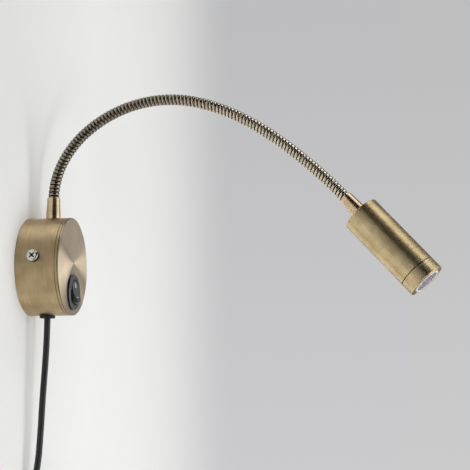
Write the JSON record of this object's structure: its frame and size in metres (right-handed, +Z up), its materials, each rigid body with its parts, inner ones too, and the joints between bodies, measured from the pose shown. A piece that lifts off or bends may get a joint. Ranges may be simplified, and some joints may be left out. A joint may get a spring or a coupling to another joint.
{
  "type": "wall reading lamp",
  "caption": "Bedside wall reading lamp: brass drum with a rocker switch, wound flexible arm, small tube head with an LED lens, and a corded plug.",
  "frame": {"origin": "centre of the drum's back rim, on the wall face", "axes": "+Z up, +Y into the wall, so the lamp stands out along -Y; +X to the right seen from the front"},
  "size_m": [0.0871, 0.2697, 0.3747],
  "materials": {
    "satin_brass": "spun and circular brushed, satin lacquer",
    "hose_metal": "wound wire, satin champagne plating",
    "bright_nickel": "bright nickel plate",
    "zinc_steel": "zinc plated",
    "switch_black": "fine moulded grain",
    "contact_metal": "bare rolled strip",
    "driver_shell": "moulded, potted",
    "rubber_black": "moulded rubber",
    "cord_pvc": "smooth extruded PVC",
    "lead_pvc": "thin PVC insulation",
    "bare_aluminium": "turned, unfinished",
    "board_white": "metal-core board with white solder mask",
    "led_package": "phosphor under a clear dome",
    "holder_white": "moulded, bright",
    "lens_clear": "clear moulded lens, stippled face",
    "tie_black": "moulded nylon",
    "plug_black": "moulded plug"
  },
  "bodies": {
    "root": {"base_cover": "satin_brass", "wall_bracket": "zinc_steel", "cover_screws": "bright_nickel", "led_driver": "driver_shell", "switch_housing": "switch_black", "switch_terminals": "contact_metal", "base_ferrule": "satin_brass", "neck_saddle": "zinc_steel", "base_nut": "zinc_steel", "internal_leads": "lead_pvc", "cable_bush": "rubber_black", "cord_inner_end": "cord_pvc", "cord_stop": "bright_nickel", "mains_cord": "cord_pvc", "mains_cord_coil": "cord_pvc", "cord_tie": "tie_black", "plug_body": "plug_black", "plug_pins": "bright_nickel", "plug_pin_sleeves": "plug_black", "hose_01": "hose_metal", "arm_lead_01": "lead_pvc"},
    "rocker": {"switch_rocker": "switch_black", "switch_plunger": "contact_metal", "plunger_spring": "zinc_steel"},
    "lever": {"contact_lever": "contact_metal"},
    "arm_2": {"hose_02": "hose_metal", "arm_lead_02": "lead_pvc"},
    "arm_3": {"hose_03": "hose_metal", "arm_lead_03": "lead_pvc"},
    "arm_4": {"hose_04": "hose_metal", "arm_lead_04": "lead_pvc"},
    "arm_5": {"hose_05": "hose_metal", "arm_lead_05": "lead_pvc"},
    "arm_6": {"hose_06": "hose_metal", "arm_lead_06": "lead_pvc"},
    "arm_7": {"hose_07": "hose_metal", "arm_lead_07": "lead_pvc"},
    "arm_8": {"hose_08": "hose_metal", "arm_lead_08": "lead_pvc"},
    "arm_9": {"hose_09": "hose_metal", "arm_lead_09": "lead_pvc"},
    "head": {"head_ferrule": "satin_brass", "head_washer": "zinc_steel", "head_nut": "zinc_steel", "head_tube": "satin_brass", "head_leads": "lead_pvc", "heat_sink": "bare_aluminium", "led_board": "board_white", "led_chip": "led_package", "board_screws": "zinc_steel", "lens_holder": "holder_white", "lens": "lens_clear", "lens_gasket": "rubber_black", "bezel_ring": "satin_brass", "hose_10": "hose_metal", "arm_lead_10": "lead_pvc"}
  },
  "joints": [
    {"name": "arm_bend_1", "type": "hinge", "parent": "root", "child": "arm_2", "pos_m": [0, -0.0203, 0.07117], "axis": [1, 0, 0], "range_deg": [-24, 10], "deforming": ["hose_01", "arm_lead_01", "hose_02", "arm_lead_02"]},
    {"name": "arm_sway_2", "type": "hinge", "parent": "arm_2", "child": "arm_3", "pos_m": [0, -0.0359, 0.09114], "axis": [0, 0.6561, 0.7547], "range_deg": [-22, 22], "deforming": ["hose_03", "arm_lead_03"]},
    {"name": "arm_bend_3", "type": "hinge", "parent": "arm_3", "child": "arm_4", "pos_m": [0, -0.05736, 0.10474], "axis": [1, 0, 0], "range_deg": [-24, 10], "deforming": ["hose_04", "arm_lead_04"]},
    {"name": "arm_sway_4", "type": "hinge", "parent": "arm_4", "child": "arm_5", "pos_m": [0, -0.08189, 0.11131], "axis": [0, 0.1089, 0.9941], "range_deg": [-22, 22], "deforming": ["hose_05", "arm_lead_05"]},
    {"name": "arm_bend_5", "type": "hinge", "parent": "arm_5", "child": "arm_6", "pos_m": [0, -0.10727, 0.11021], "axis": [1, 0, 0], "range_deg": [-24, 10], "deforming": ["hose_06", "arm_lead_06"]},
    {"name": "arm_sway_6", "type": "hinge", "parent": "arm_6", "child": "arm_7", "pos_m": [-0.00033, -0.1315, 0.10245], "axis": [-0.003, -0.4107, 0.9118], "range_deg": [-22, 22], "deforming": ["hose_07", "arm_lead_07"]},
    {"name": "arm_bend_7", "type": "hinge", "parent": "arm_7", "child": "arm_8", "pos_m": [-0.00132, -0.15381, 0.0902], "axis": [0.9986, -0.0478, -0.0205], "range_deg": [-24, 10], "deforming": ["hose_08", "arm_lead_08"]},
    {"name": "arm_sway_8", "type": "hinge", "parent": "arm_8", "child": "arm_9", "pos_m": [-0.00294, -0.17425, 0.07506], "axis": [-0.0163, -0.6391, 0.769], "range_deg": [-22, 22], "deforming": ["hose_09", "arm_lead_09"]},
    {"name": "arm_bend_9", "type": "hinge", "parent": "arm_9", "child": "head", "pos_m": [-0.00519, -0.19321, 0.05817], "axis": [0.9947, -0.0882, -0.0534], "range_deg": [-24, 10], "deforming": ["hose_10", "arm_lead_10"]},
    {"name": "switch_rock", "type": "hinge", "parent": "root", "child": "rocker", "pos_m": [0, -0.0284, -0.0173], "axis": [1, 0, 0], "range_deg": [0, 24]},
    {"name": "contact_rock", "type": "hinge", "parent": "root", "child": "lever", "pos_m": [0, -0.0186, -0.0173], "axis": [1, 0, 0], "range_deg": [-16, 0]}
  ],
  "couplings": [
    {"joint": "contact_rock", "follows": "switch_rock", "ratio": -0.66667}
  ]
}
